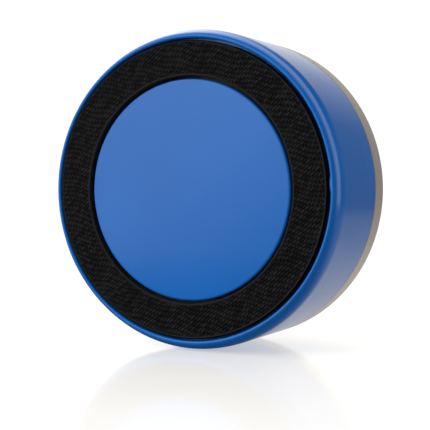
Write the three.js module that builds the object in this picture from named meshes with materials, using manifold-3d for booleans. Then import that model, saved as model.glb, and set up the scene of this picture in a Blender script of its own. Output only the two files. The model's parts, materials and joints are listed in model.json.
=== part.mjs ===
// A round waterproof shower speaker that hangs on a wall by a suction cup.
//
// Working frame: x to the right, y up, z out of the wall towards the listener, with z = 0 on the wall.
// The last group turns it, so the finished part has +Z up, its front facing -Y and the wall on +Y.
// Everything is in millimetres.

import * as THREE from 'three';
import { mergeVertices } from 'three/addons/utils/BufferGeometryUtils.js';
import Module from 'manifold-3d';

const wasm = await Module();
wasm.setup();

// ---- driving dimensions ----------------------------------------------------------------------------

const OUTER_R = 43;          // casing and trim band
const BODY_BACK = 12;        // rear edge of the body, above the wall
const BODY_DEPTH = 37.8;     // rear edge to the plane that the rim's round would touch
const BAND_WIDTH = 7;        // metal band at the rear
const RIM_ROUND = 6.9;       // radius of the casing's front edge
const RIM_INNER_R = 40.3;    // opening that the cloth ring sits in
const WALL = 1.8;            // casing wall
const GAP = 0.3;             // between pieces that touch
const MERGE = 0.5;           // how far one solid of a piece runs into the next

const DISC_R = 29.6;         // centre disc
const CLOTH_INNER_R = 30.3;
const CLOTH_OUTER_R = 39.8;

const BUTTON_ANGLE = 130;    // middle of the button row, seen from the front, from the right, anticlockwise
const BUTTON_PITCH = 9.6;
const BUTTON_SIZE = [6.8, 4.2];
const BUTTON_Z = 30;
const PORT_Z = 24.9;
const FLAP_SIZE = [16, 8.2]; // round the casing, and along z
const TWIST = 50;            // turn that frees the speaker from its cup, in degrees

// ---- levels along z --------------------------------------------------------------------------------

const FRONT = BODY_BACK + BODY_DEPTH;
const BAND_FRONT = BODY_BACK + BAND_WIDTH;
const CLOTH_TOP = FRONT - 1.85;
const DISC_TOP = FRONT - 2.5;
const FRAME_TOP = CLOTH_TOP - 1.25;
const LEDGE_TOP = FRAME_TOP - 1.5;
const BAFFLE_TOP = 40.6;
const BAFFLE_BACK = 39;
const FLANGE_BACK = 41.6;    // the driver's mounting flange
const FLANGE_TOP = 42.4;
const COVER_BACK = 13.5;
const COVER_FRONT = 15.3;
const BOARD_BACK = 21.8;
const BOARD_TOP = 23;

const INNER_R = OUTER_R - WALL;
const SKIRT_R = INNER_R - GAP;
const SKIRT_INNER_R = 39.6;
const FLANGE_R = 23.4;
const BOSS_RING_R = 35.5;    // three bosses that take the back cover's screws
const BOSS_R = 3;
const COVER_PILOT_R = 1.4;
const BOSS_ANGLES = [90, 210, 330];
const DRIVER_SCREW_RING_R = 21.9;
const DRIVER_PILOT_R = 1.1;
const DRIVER_SCREW_ANGLES = [45, 135, 225, 315];

// Flat sides that a round piece is made of, by its size.
const OUTER_SIDES = 48;
const MIDDLE_SIDES = 36;
const INNER_SIDES = 24;

const radians = THREE.MathUtils.degToRad;

// ---- solids ----------------------------------------------------------------------------------------

// One closed mesh with shared corners and no zero-area faces.
function welded(geometry) {
  const bare = geometry.clone();
  for (const name of Object.keys(bare.attributes)) {
    if (name !== 'position') bare.deleteAttribute(name);
  }
  const mesh = mergeVertices(bare, 1e-4);
  const corners = mesh.index.array;
  const kept = [];
  for (let i = 0; i < corners.length; i += 3) {
    const [a, b, c] = corners.slice(i, i + 3);
    if (a !== b && b !== c && c !== a) kept.push(a, b, c);
  }
  mesh.setIndex(kept);
  return mesh;
}

function solid(geometry) {
  const mesh = welded(geometry);
  return new wasm.Manifold(new wasm.Mesh({
    numProp: 3,
    vertProperties: new Float32Array(mesh.attributes.position.array),
    triVerts: new Uint32Array(mesh.index.array),
  }));
}

function surface(body) {
  const { vertProperties, triVerts } = body.getMesh();
  const geometry = new THREE.BufferGeometry();
  geometry.setAttribute('position', new THREE.BufferAttribute(vertProperties, 3));
  geometry.setIndex(new THREE.BufferAttribute(triVerts, 1));
  geometry.computeVertexNormals();
  return geometry;
}

// A closed outline of [radius, z] points, turned round the z axis.
function turned(outline, segments = INNER_SIDES) {
  let area = 0;
  outline.forEach(([r, z], i) => {
    const [nextR, nextZ] = outline[(i + 1) % outline.length];
    area += r * nextZ - nextR * z;
  });
  const points = (area > 0 ? outline : [...outline].reverse()).map(([r, z]) => new THREE.Vector2(r, z));
  const onAxis = points.findIndex((point, i) => point.x === 0 && points[(i + 1) % points.length].x === 0);
  if (onAxis >= 0) points.push(...points.splice(0, onAxis + 1));
  else points.push(points[0].clone());
  return solid(new THREE.LatheGeometry(points, segments).rotateX(Math.PI / 2));
}

function drum(radius, low, high, segments = INNER_SIDES) {
  return turned([[0, low], [radius, low], [radius, high], [0, high]], segments);
}

function ring(inner, outer, low, high, segments = INNER_SIDES) {
  return turned([[inner, low], [outer, low], [outer, high], [inner, high]], segments);
}

// A box from its low to its high corner.
function block([x0, y0, z0], [x1, y1, z1]) {
  const box = new THREE.BoxGeometry(x1 - x0, y1 - y0, z1 - z0);
  return solid(box.translate((x0 + x1) / 2, (y0 + y1) / 2, (z0 + z1) / 2));
}

// A drum whose axis runs outwards along x.
function spoke(radius, low, high, y, z, segments = 16) {
  const cylinder = new THREE.CylinderGeometry(radius, radius, high - low, segments).rotateZ(Math.PI / 2);
  return solid(cylinder.translate((low + high) / 2, y, z));
}

// A stadium of the given length along y and height along z, pushed out from low to high along x.
function pill(length, height, low, high, y, z, segments = 4) {
  const end = height / 2;
  const straight = length / 2 - end;
  const outline = new THREE.Shape();
  outline.absarc(straight, 0, end, -Math.PI / 2, Math.PI / 2);
  outline.absarc(-straight, 0, end, Math.PI / 2, 1.5 * Math.PI);
  const options = { depth: high - low, bevelEnabled: false, curveSegments: segments };
  const bar = new THREE.ExtrudeGeometry(outline, options);
  bar.rotateX(Math.PI / 2).rotateZ(Math.PI / 2);
  return solid(bar.translate(low, y, z));
}

// A sector of a flat ring between two radii and two levels, centred on an angle.
function sector(inner, outer, low, high, middle, width, segments = 4) {
  const from = radians(middle - width / 2);
  const to = radians(middle + width / 2);
  const outline = new THREE.Shape();
  outline.absarc(0, 0, outer, from, to, false);
  outline.absarc(0, 0, inner, to, from, true);
  const options = { depth: high - low, bevelEnabled: false, curveSegments: segments };
  const plate = new THREE.ExtrudeGeometry(outline, options);
  return solid(plate.translate(0, 0, low));
}

// A round wire along hand-placed points.
function wire(points, radius = 0.5) {
  const path = new THREE.CatmullRomCurve3(points.map((point) => new THREE.Vector3(...point)));
  const section = new THREE.Shape().absarc(0, 0, radius, 0, 2 * Math.PI);
  const options = { steps: 10, curveSegments: 3, bevelEnabled: false, extrudePath: path };
  return solid(new THREE.ExtrudeGeometry(section, options));
}

// Points on an arc of an outline, in degrees.
function arc(r, z, radius, from, to, steps) {
  return Array.from({ length: steps + 1 }, (_, i) => {
    const turn = radians(from + (to - from) * i / steps);
    return [r + radius * Math.cos(turn), z + radius * Math.sin(turn)];
  });
}

function turnedTo(body, degrees) {
  return body.rotate([0, 0, degrees]);
}

// The same tool at several places round the axis.
function copies(tool, angles) {
  return angles.map((angle) => turnedTo(tool, angle)).reduce((all, one) => all.add(one));
}

function evenly(count, first = 0) {
  return Array.from({ length: count }, (_, i) => first + 360 * i / count);
}

// ---- materials -------------------------------------------------------------------------------------

function material(color, roughness, metalness = 0) {
  return new THREE.MeshStandardMaterial({ color, roughness, metalness });
}

const finish = {
  bluePaint: material(0x1a5cae, 0.12),
  satinMetal: material(0x8f8980, 0.3, 1),
  blackCloth: material(0x17171a, 0.9),
  blackPlastic: material(0x1c1c1e, 0.5),
  softBlack: material(0x141416, 0.75),
  clearSilicone: material(0xc9ccd0, 0.35),
  steel: material(0xa8a9ab, 0.3, 1),
  zinc: material(0xb9bcbf, 0.35, 1),
  ferrite: material(0x2c2c2e, 0.7),
  paper: material(0x26262a, 0.85),
  treatedCloth: material(0xb98a3c, 0.8),
  copper: material(0xb5683a, 0.35, 1),
  boardGreen: material(0x12512c, 0.5),
  chip: material(0x131315, 0.45),
  foil: material(0x8d9196, 0.4, 1),
  ivory: material(0xe6e1d2, 0.5),
  redWire: material(0xb3201c, 0.5),
  lightPipe: material(0xe9eef2, 0.2),
};

// ---- outer pieces ----------------------------------------------------------------------------------

const WINDOW_ANGLE = 56;     // hole in the wall behind the button bezel
const BEZEL_ANGLE = 61;
const BEZEL_HEIGHT = 8;
const PORT_WINDOW = [12.6, 6.8];
const FLAP_TOP_Y = FLAP_SIZE[0] / 2;
const ANCHOR_Y = [FLAP_TOP_Y + 0.9, FLAP_TOP_Y + 3.5];
const LED_ANGLE = 197;
const MICROPHONE_ANGLE = 222;
const MICROPHONE_Z = 25.4;

// A curved patch of the wall at the port, between two radii, from low to high round the wall and along z.
function portPatch(inner, outer, [y0, y1], [z0, z1]) {
  const tube = ring(inner, outer, z0, z1, OUTER_SIDES);
  return tube.intersect(block([-outer - 1, y0, z0 - 1], [-30, y1, z1 + 1]));
}

// The four screw holes that the casing, the gasket and the basket share.
function driverHoles(radius) {
  const hole = drum(radius, BAFFLE_BACK - 1, FLANGE_TOP + 1, 12);
  return copies(hole.translate([DRIVER_SCREW_RING_R, 0, 0]), DRIVER_SCREW_ANGLES);
}

function frontCasing() {
  const roundR = OUTER_R - RIM_ROUND;
  const roundZ = FRONT - RIM_ROUND;
  const lipTurn = THREE.MathUtils.radToDeg(Math.acos((RIM_INNER_R + 0.35 - roundR) / RIM_ROUND));
  const outline = [
    [OUTER_R, BAND_FRONT + GAP],
    ...arc(roundR, roundZ, RIM_ROUND, 0, lipTurn, 4),
    [RIM_INNER_R, FRONT - 2.1],
    [RIM_INNER_R, LEDGE_TOP],
    [38.2, LEDGE_TOP],
    [38.2, LEDGE_TOP - 1.4],
    [INNER_R, LEDGE_TOP - 2],
    [INNER_R, BAFFLE_TOP],
    [19.8, BAFFLE_TOP],
    [19.8, BAFFLE_BACK],
    [INNER_R, BAFFLE_BACK],
    [INNER_R, 22.6],
    [SKIRT_INNER_R, 21],
    [SKIRT_INNER_R, 16.7],
    [SKIRT_R, 16.7],
    [SKIRT_R, BAND_FRONT + GAP],
  ];
  const boss = drum(BOSS_R, COVER_FRONT + GAP, BAFFLE_BACK + MERGE, 16).translate([BOSS_RING_R, 0, 0]);
  const bosses = copies(boss, BOSS_ANGLES);
  const pilots = copies(drum(COVER_PILOT_R, 10, 32, 12).translate([BOSS_RING_R, 0, 0]), BOSS_ANGLES);
  const rib = block([29.6, 0, 27], [34.4, 1.4, BAFFLE_BACK + MERGE]);
  const ribSlot = block([31.2, -1, 20], [32.8, 3, 35]);
  const ribs = [19, -20.4].map((y) => rib.subtract(ribSlot).translate([0, y, 0])).reduce((a, b) => a.add(b));

  const bezelLow = BUTTON_Z - BEZEL_HEIGHT / 2;
  const bezelHigh = BUTTON_Z + BEZEL_HEIGHT / 2;
  const bezelRecess = sector(42, 45, bezelLow - GAP, bezelHigh + GAP, 0, BEZEL_ANGLE + 0.8, 8);
  const bezelWindow = sector(38, 45, bezelLow + 0.8, bezelHigh - 0.8, 0, WINDOW_ANGLE, 8);
  const flapZ = [PORT_Z - FLAP_SIZE[1] / 2 - GAP, PORT_Z + FLAP_SIZE[1] / 2 + GAP];
  const flapRecess = portPatch(41.7, 45, [-FLAP_TOP_Y - GAP, ANCHOR_Y[1] + GAP], flapZ);
  const [portLength, portHeight] = PORT_WINDOW;
  const portWindow = pill(portLength, portHeight, -45, -38, 0, PORT_Z);
  const anchorHole = spoke(1.3, -45, -39, (ANCHOR_Y[0] + ANCHOR_Y[1]) / 2, PORT_Z, 12);
  const ledHole = turnedTo(spoke(1.3, 38, 45, 0, PORT_Z, 12), LED_ANGLE);
  const microphoneHole = turnedTo(spoke(0.8, 38, 45, 0, MICROPHONE_Z, 12), MICROPHONE_ANGLE);

  return turned(outline, OUTER_SIDES)
    .add(bosses)
    .subtract(pilots)
    .subtract(driverHoles(DRIVER_PILOT_R))
    .subtract(turnedTo(bezelRecess.add(bezelWindow), BUTTON_ANGLE))
    .subtract(flapRecess.add(portWindow).add(anchorHole))
    .subtract(ledHole.add(microphoneHole))
    .add(turnedTo(ribs, BUTTON_ANGLE));
}

function trimBand() {
  const edge = 0.6;
  return turned([
    [OUTER_R, BAND_FRONT],
    [SKIRT_R + 0.6, BAND_FRONT],
    [SKIRT_R + 0.6, COVER_BACK - GAP],
    [40.4, COVER_BACK - GAP],
    [40.4, BODY_BACK],
    ...arc(OUTER_R - edge, BODY_BACK + edge, edge, -90, 0, 2),
  ], OUTER_SIDES);
}

function backCover() {
  const lugNotch = 44;
  const plate = drum(SKIRT_R, COVER_BACK, COVER_FRONT, OUTER_SIDES);
  const pocket = turned([[0, 17.9], [14.2, 17.9], [14.2, 15], [15.6, 15], [15.6, 19.2], [0, 19.2]]);
  const opening = drum(9.5, 12, 16, 36)
    .add(copies(sector(8, 13.6, 12, 16, 0, lugNotch), evenly(3, -TWIST)));
  const post = drum(2.2, COVER_FRONT - 0.5, BOARD_BACK - GAP, 16);
  const posts = [[24.2, 14], [-24.2, 14], [0, -25]].map(([x, y]) => post.translate([x, y, 0]));
  const countersink = drum(2.8, 12, COVER_BACK + 0.9, 16);
  const screwHole = drum(COVER_PILOT_R, 12, 16, 12).add(countersink).translate([BOSS_RING_R, 0, 0]);
  return posts.reduce((all, one) => all.add(one), plate)
    .subtract(opening)
    .add(pocket)
    .subtract(copies(screwHole, BOSS_ANGLES));
}

function casingSeal() {
  return ring(SKIRT_INNER_R + 0.1, SKIRT_R - 0.1, COVER_FRONT + GAP, 16.4, MIDDLE_SIDES);
}

function coverScrew() {
  const cross = block([-1.5, -0.35, 12], [1.5, 0.35, 13.4]);
  return drum(1.1, COVER_BACK, 25, 12)
    .add(drum(2.3, 13, COVER_BACK + 0.6, 16))
    .subtract(cross.add(turnedTo(cross, 90)))
    .translate([BOSS_RING_R, 0, 0]);
}

function grilleFrame() {
  const innerR = CLOTH_INNER_R + 0.1;
  const outline = [
    [25, LEDGE_TOP - 1.6], [innerR + 1.4, LEDGE_TOP - 1.6], [innerR + 1.4, LEDGE_TOP + GAP],
    [CLOTH_OUTER_R + 0.1, LEDGE_TOP + GAP], [CLOTH_OUTER_R + 0.1, FRAME_TOP], [innerR, FRAME_TOP],
    [innerR, LEDGE_TOP - 0.2], [25, LEDGE_TOP - 0.2],
  ];
  const low = LEDGE_TOP - 3;
  const inside = sector(32.7, 34.9, low, FRONT, 0, 25, 2);
  const outside = sector(35.9, 37.9, low, FRONT, 0, 25, 2);
  return turned(outline, MIDDLE_SIDES).subtract(copies(inside.add(outside), evenly(12)));
}

function grilleCloth() {
  const edge = 0.35;
  const low = FRAME_TOP + GAP;
  return turned([
    [CLOTH_INNER_R, low],
    [CLOTH_OUTER_R, low],
    ...arc(CLOTH_OUTER_R - edge, CLOTH_TOP - edge, edge, 0, 90, 1),
    ...arc(CLOTH_INNER_R + edge, CLOTH_TOP - edge, edge, 90, 180, 1),
  ], MIDDLE_SIDES);
}

function centreDisc() {
  const edge = 0.5;
  return turned([
    [0, DISC_TOP - 1.4],
    [DISC_R, DISC_TOP - 1.4],
    ...arc(DISC_R - edge, DISC_TOP - edge, edge, 0, 90, 2),
    [0, DISC_TOP],
  ], MIDDLE_SIDES);
}

function discAdhesiveRing() {
  return ring(25.4, 29.2, LEDGE_TOP + 0.1, DISC_TOP - 1.7);
}

// ---- loudspeaker driver ----------------------------------------------------------------------------

function driverBasket() {
  const outline = [
    [FLANGE_R, FLANGE_BACK], [19.3, FLANGE_BACK], [19.3, 39.4], [16, 33.4], [15.6, 31.4], [9.5, 31.4],
    [9.5, 32.4], [13.4, 32.4], [13.4, 33.7], [15.1, 33.7], [18.3, 39.8],
    [18.3, FLANGE_TOP], [FLANGE_R, FLANGE_TOP],
  ];
  const windows = copies(block([12, -4.5, 34.4], [24, 4.5, 38.4]), evenly(6, 30));
  return turned(outline).subtract(windows).subtract(driverHoles(DRIVER_PILOT_R));
}

function driverGasket() {
  const inner = 20.2;
  return ring(inner, FLANGE_R, BAFFLE_TOP + GAP, FLANGE_BACK - GAP).subtract(driverHoles(DRIVER_PILOT_R));
}

function driverSurround() {
  const level = FLANGE_TOP + GAP;
  const sheet = 0.4;
  const rollR = 17.9;
  const roll = 1.5;
  return turned([
    [20.4, level + sheet],
    ...arc(rollR, level + sheet, roll, 0, 180, 4),
    [14.9, level - 0.2],
    [14.9, level - 0.6],
    ...arc(rollR, level, roll - sheet, 180, 0, 4),
    [20.4, level],
  ]);
}

function driverCone() {
  return turned([[6.3, 35.9], [10.5, 38.5], [15.9, 41.2], [15.9, 41.7], [10.5, 39], [6.3, 36.5]]);
}

function dustCap() {
  const skin = 0.4;
  const rise = 22;
  return turned([
    ...arc(0, 31.4, 8.6, rise, 90, 4).slice(0, -1),
    [0, 40],
    [0, 40 - skin],
    ...arc(0, 31.4, 8.6 - skin, 90, rise, 4).slice(1),
  ].map(([r, z]) => [r * 0.92, z + 2.6]));
}

function voiceCoil() {
  return turned([[5.6, 27.8], [6.5, 27.8], [6.5, 32.2], [5.95, 32.2], [5.95, 36.6], [5.6, 36.6]]);
}

function driverSpider() {
  const folds = 6;
  const inner = 6.3;
  const outer = 14.6;
  const points = Array.from({ length: folds + 1 }, (_, i) => {
    return [inner + (outer - inner) * i / folds, i % 2 ? 34.1 : 34.7];
  });
  const above = points.map(([r, z]) => [r, z + 0.35]).reverse();
  return turned([...points, ...above]);
}

function yoke() {
  return turned([[0, 22.9], [13.6, 22.9], [13.6, 24.3], [5.2, 24.3], [5.2, 31.1], [0, 31.1]]);
}

function terminalStrip() {
  const tag = block([19.2, -0.8, 34], [21, 0.8, 35.4]);
  return block([18.4, -4, 33.4], [20.4, 4, 34.6])
    .add(tag.translate([0, 2.2, 0]))
    .add(tag.translate([0, -2.2, 0]));
}

function driverScrew() {
  const slot = block([-1.4, -0.3, 43.2], [1.4, 0.3, 45]);
  return drum(0.8, 39.4, FLANGE_TOP + 0.5, 10)
    .add(drum(1.4, FLANGE_TOP + GAP, 43.7, 14))
    .subtract(slot.add(turnedTo(slot, 90)))
    .translate([DRIVER_SCREW_RING_R, 0, 0]);
}

// ---- electronics -----------------------------------------------------------------------------------

const ON_BOARD = BOARD_TOP + GAP;

function mainBoard() {
  const notches = copies(drum(3.6, 20, 25, 16).translate([BOSS_RING_R, 0, 0]), BOSS_ANGLES);
  return ring(15.5, 38.6, BOARD_BACK, BOARD_TOP, MIDDLE_SIDES).subtract(notches);
}

function usbSocket() {
  const mouth = pill(7.8, 2.3, -40, -33.8, 0, PORT_Z);
  const tongue = block([-38.6, -3, PORT_Z - 0.3], [-33.5, 3, PORT_Z + 0.3]);
  return pill(9, 3.2, -39.3, -32.3, 0, PORT_Z).subtract(mouth).add(tongue);
}

function buttonRibbon() {
  const outline = new THREE.Shape([
    [31.2, 31], [31.2, ON_BOARD], [26.5, ON_BOARD],
    [26.5, ON_BOARD + 0.3], [30.9, ON_BOARD + 0.3], [30.9, 31],
  ].map(([x, z]) => new THREE.Vector2(x, z)));
  const strip = new THREE.ExtrudeGeometry(outline, { depth: 7, bevelEnabled: false });
  return solid(strip.rotateX(Math.PI / 2).translate(0, 3.5, 0));
}

// ---- controls --------------------------------------------------------------------------------------

const SWITCH_BOARD_X = [31.5, 32.5];
const BEZEL_INNER_R = 41;

function buttonBezel(rows) {
  const half = BEZEL_HEIGHT / 2;
  const face = sector(42.3, OUTER_R, BUTTON_Z - half, BUTTON_Z + half, 0, BEZEL_ANGLE, 8);
  const inset = 1.1;
  const low = BUTTON_Z - half + inset;
  const high = BUTTON_Z + half - inset;
  const tray = sector(BEZEL_INNER_R, 42.5, low, high, 0, WINDOW_ANGLE - 0.8, 8);
  const [length, height] = BUTTON_SIZE;
  const holes = rows.map((y) => pill(length + 0.6, height + 0.6, 30, 46, y, BUTTON_Z));
  return holes.reduce((left, hole) => left.subtract(hole), face.add(tray));
}

function button(y) {
  const [length, height] = BUTTON_SIZE;
  const proud = 0.5;
  const flangeR = BEZEL_INNER_R - GAP;
  const low = BUTTON_Z - height;
  const high = BUTTON_Z + height;
  const shell = (outer) => ring(39.9, outer, low, high, OUTER_SIDES);
  const key = pill(length, height, 30, 46, y, BUTTON_Z).intersect(shell(OUTER_R + proud));
  const flange = pill(length + 1.6, height + 1.4, 30, 46, y, BUTTON_Z).intersect(shell(flangeR));
  const stem = spoke(1.4, 35.5, 40, y, BUTTON_Z, 12).intersect(drum(40.5, low, high, OUTER_SIDES));
  return key.add(flange).add(stem);
}

function portFlap() {
  const [, height] = FLAP_SIZE;
  const low = PORT_Z - height / 2;
  const high = PORT_Z + height / 2;
  const face = portPatch(42, OUTER_R, [-FLAP_TOP_Y, FLAP_TOP_Y], [low, high]);
  const [length, opening] = PORT_WINDOW;
  const plug = pill(length - 0.8, opening - 0.8, -42.2, -40.2, 0, PORT_Z);
  const grip = portPatch(42.5, OUTER_R + 0.4, [-FLAP_TOP_Y, -FLAP_TOP_Y + 1], [low + 2, high - 2]);
  return face.add(plug).add(grip);
}

function flapAnchor() {
  const [, height] = FLAP_SIZE;
  const face = portPatch(42, OUTER_R, ANCHOR_Y, [PORT_Z - height / 2 + 1, PORT_Z + height / 2 - 1]);
  return face.add(spoke(1, -42.2, -40.2, (ANCHOR_Y[0] + ANCHOR_Y[1]) / 2, PORT_Z, 12));
}

// ---- wall mount ------------------------------------------------------------------------------------

const CUP_R = 31;
const CUP_TOP = 9;

function suctionCup() {
  const lipWidth = 3.4;
  const hollow = 3.6;
  const steps = 4;
  const underside = Array.from({ length: steps + 1 }, (_, i) => {
    const t = i / steps;
    return [(CUP_R - lipWidth) * t, hollow * (1 - t * t)];
  });
  const dome = Array.from({ length: steps + 1 }, (_, i) => {
    const t = i / steps;
    return [CUP_R - (CUP_R - 13) * t, 0.9 + (CUP_TOP - 1.6) * Math.sin(t * Math.PI / 2) ** 1.4];
  });
  const neck = [[12.6, CUP_TOP], [7.5, CUP_TOP], [7.5, 6], [0, 6]];
  return turned([...underside, [CUP_R, 0], ...dome, ...neck], MIDDLE_SIDES);
}

function cupHub() {
  const lug = 40;
  const body = turned([
    [0, 6.3], [7.2, 6.3], [7.2, CUP_TOP + GAP], [15, CUP_TOP + GAP], [15, 10.8], [11, 11.6], [11, 13.2],
    [9, 13.2], [9, 17.4], [0, 17.4],
  ]);
  const grips = copies(block([14, -1.1, 9.4], [15.8, 1.1, 10.8]), evenly(12));
  return body.add(grips).add(copies(sector(8, 13.2, 15.6, 17.2, 0, lug), evenly(3)));
}

// ---- assembly --------------------------------------------------------------------------------------

const device = new THREE.Group();

function place(name, body, look, parent = device) {
  const mesh = new THREE.Mesh(surface(body), look);
  mesh.name = name;
  parent.add(mesh);
  return mesh;
}

function placeRound(name, body, look, angles) {
  angles.forEach((angle, i) => {
    place(`${name}_${i + 1}`, body, look).rotation.z = radians(angle);
  });
}

place('suction_cup', suctionCup(), finish.clearSilicone);
place('cup_hub', cupHub(), finish.blackPlastic);

place('front_casing', frontCasing(), finish.bluePaint);
place('trim_band', trimBand(), finish.satinMetal);
place('back_cover', backCover(), finish.blackPlastic);
place('casing_seal', casingSeal(), finish.softBlack);
placeRound('cover_screw', coverScrew(), finish.zinc, BOSS_ANGLES);
place('grille_frame', grilleFrame(), finish.blackPlastic);
place('grille_cloth', grilleCloth(), finish.blackCloth);
place('centre_disc', centreDisc(), finish.bluePaint);
place('disc_adhesive_ring', discAdhesiveRing(), finish.softBlack);

place('driver_basket', driverBasket(), finish.steel);
place('driver_gasket', driverGasket(), finish.softBlack);
place('driver_surround', driverSurround(), finish.softBlack);
place('driver_cone', driverCone(), finish.paper);
place('dust_cap', dustCap(), finish.paper);
place('voice_coil', voiceCoil(), finish.copper);
place('driver_spider', driverSpider(), finish.treatedCloth);
place('top_plate', ring(6.9, 14.2, 28.9, 31.1), finish.zinc);
place('magnet', ring(7.8, 13.9, 24.6, 28.6), finish.ferrite);
place('yoke', yoke(), finish.zinc);
place('terminal_strip', terminalStrip(), finish.ivory);
placeRound('driver_screw', driverScrew(), finish.zinc, DRIVER_SCREW_ANGLES);

place('main_board', mainBoard(), finish.boardGreen);
place('shield_can', block([-30.5, -6.5, ON_BOARD], [-18.5, 6.5, ON_BOARD + 1.8]), finish.foil);
place('amplifier_chip', block([24, 1, ON_BOARD], [29, 6, ON_BOARD + 0.9]), finish.chip);
place('usb_socket', usbSocket(), finish.steel);
place('microphone', turnedTo(spoke(2, 37.5, 40.8, 0, MICROPHONE_Z), MICROPHONE_ANGLE), finish.steel);
place('status_led', turnedTo(block([34.2, -1, ON_BOARD], [36.6, 1, 25.4]), LED_ANGLE), finish.ivory);
place('light_pipe', turnedTo(spoke(1, 37, 43, 0, PORT_Z, 12), LED_ANGLE), finish.lightPipe);

place('battery_pad', block([-12, -33, ON_BOARD], [12, -19, ON_BOARD + 0.6]), finish.softBlack);
place('battery_cell', block([-15, -35.2, ON_BOARD + 0.9], [15, -16.5, ON_BOARD + 6.2]), finish.foil);
place('battery_plug', block([19, -14, ON_BOARD], [25, -10, ON_BOARD + 3.2]), finish.ivory);
const batteryWire = (x) => wire([
  [15.4, -20 - x, 27], [18, -19.5 - x, 27.4], [20.4 + x, -17.5, 26.6], [20.4 + x, -14.4, 25.2],
]);
place('battery_wire_red', batteryWire(0), finish.redWire);
place('battery_wire_black', batteryWire(2.4), finish.softBlack);
const speakerWire = (y) => wire([[21.4, y, 34.6], [24, y, 34], [26, y, 30], [26, y, ON_BOARD + 0.2]]);
place('speaker_wire_red', speakerWire(-2.2), finish.redWire);
place('speaker_wire_black', speakerWire(-4.4), finish.softBlack);

const controls = new THREE.Group();
controls.rotation.z = radians(BUTTON_ANGLE);
device.add(controls);

const BUTTONS = ['power_button', 'volume_down_button', 'play_button', 'volume_up_button'];
const rows = BUTTONS.map((_, i) => (1.5 - i) * BUTTON_PITCH);
const [boardLow, boardHigh] = SWITCH_BOARD_X;
place('switch_board', block([boardLow, -20.2, 25.6], [boardHigh, 20.2, 34.4]), finish.boardGreen, controls);
place('button_ribbon', buttonRibbon(), finish.treatedCloth, controls);
place('button_bezel', buttonBezel(rows), finish.softBlack, controls);
BUTTONS.forEach((name, i) => {
  const y = rows[i];
  const can = block([boardHigh + GAP, y - 2.2, BUTTON_Z - 2.2], [boardHigh + 1.6, y + 2.2, BUTTON_Z + 2.2]);
  place(`tact_switch_${i + 1}`, can, finish.steel, controls);
  const plunger = spoke(0.9, boardHigh + 2.2, boardHigh + 2.7, y, BUTTON_Z, 12);
  place(`switch_plunger_${i + 1}`, plunger, finish.chip, controls);
  place(name, button(y), finish.softBlack, controls);
});

place('port_flap', portFlap(), finish.softBlack);
place('flap_anchor', flapAnchor(), finish.softBlack);

const speaker = new THREE.Group();
device.rotation.x = Math.PI / 2;
speaker.add(device);

export default speaker;
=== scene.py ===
# Looks for the shower speaker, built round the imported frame. Metres, +Z up, front facing -Y, wall on +Y.
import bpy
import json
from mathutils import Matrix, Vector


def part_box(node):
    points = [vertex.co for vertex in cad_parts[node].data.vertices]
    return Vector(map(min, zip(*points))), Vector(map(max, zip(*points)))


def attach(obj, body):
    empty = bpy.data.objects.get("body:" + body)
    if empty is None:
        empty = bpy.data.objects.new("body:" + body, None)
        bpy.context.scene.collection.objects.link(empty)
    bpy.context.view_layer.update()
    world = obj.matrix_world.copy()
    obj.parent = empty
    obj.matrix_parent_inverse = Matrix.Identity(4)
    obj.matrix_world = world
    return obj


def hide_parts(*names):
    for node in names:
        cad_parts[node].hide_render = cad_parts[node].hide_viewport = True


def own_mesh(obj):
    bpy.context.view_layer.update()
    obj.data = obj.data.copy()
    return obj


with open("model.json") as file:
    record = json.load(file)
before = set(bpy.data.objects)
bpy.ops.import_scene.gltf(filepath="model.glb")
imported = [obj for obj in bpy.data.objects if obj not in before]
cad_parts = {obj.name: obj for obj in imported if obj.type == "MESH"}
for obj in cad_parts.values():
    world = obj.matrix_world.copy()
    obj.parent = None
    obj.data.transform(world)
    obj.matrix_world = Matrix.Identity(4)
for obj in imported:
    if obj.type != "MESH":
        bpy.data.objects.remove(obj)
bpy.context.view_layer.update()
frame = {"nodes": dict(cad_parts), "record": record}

import json
import math

import bmesh
import bpy
from mathutils import Matrix, Vector

MM = 0.001
TAU = 2 * math.pi
ROUND_STEPS = 240            # facets round the outer shells
SHARP_EDGE = 35              # degrees past which an edge isn't shaded smooth
WHITE = 1.05                 # how bright the background looks to the camera
FILL = 0.55                  # the studio's soft light on every surface
REFLECTED = 0.02             # how bright the studio's dark parts look in a reflection
# Panels of light: azimuth and elevation of the middle, where the edge starts and ends, strength. Degrees.
PANELS = (
    (-45, 24, 30, 38, 1.02),
    (225, 10, 26, 56, 0.85),
    (156, 8, 16, 30, 0.09),
    (-110, 5, 15, 30, 0.3),
)
# A hoop of light behind the object: its middle, where its inner and outer edges start and end, strength.
HOOP = (-16, -6, 107, 114, 127, 133, 1.45)


# ---- places taken from the frame ---------------------------------------------------------------------

def low(node):
    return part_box(node)[0]


def high(node):
    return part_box(node)[1]


RADIUS = high("trim_band").z                 # casing and band
BAND_BACK = -high("trim_band").y             # height above the wall, out along -Y
BAND_FRONT = -low("trim_band").y
CASING_BACK = BAND_FRONT + 0.3 * MM
RIM_TOP = -low("front_casing").y
CLOTH_TOP = -low("grille_cloth").y
CLOTH_BACK = -high("grille_cloth").y
CLOTH_OUTER = high("grille_cloth").z
CLOTH_INNER = 30.3 * MM
DISC_TOP = -low("centre_disc").y
DISC_BACK = -high("centre_disc").y
DISC_R = high("centre_disc").z
RIM_ROUND = 0.16 * RADIUS
RIM_PLANE = RIM_TOP + 1.7 * MM               # plane that the rim's round would reach
RIM_INNER = 40.3 * MM
WALL = 1.8 * MM                              # thickness of the casing and the back cover
LEDGE = CLOTH_BACK - 1.8 * MM
BAFFLE_TOP = 40.6 * MM
BAFFLE_BACK = 39 * MM
BAFFLE_HOLE = 19.8 * MM
COVER_BACK = -high("back_cover").y
COVER_R = high("back_cover").z
PORT_TURN = math.pi
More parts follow.
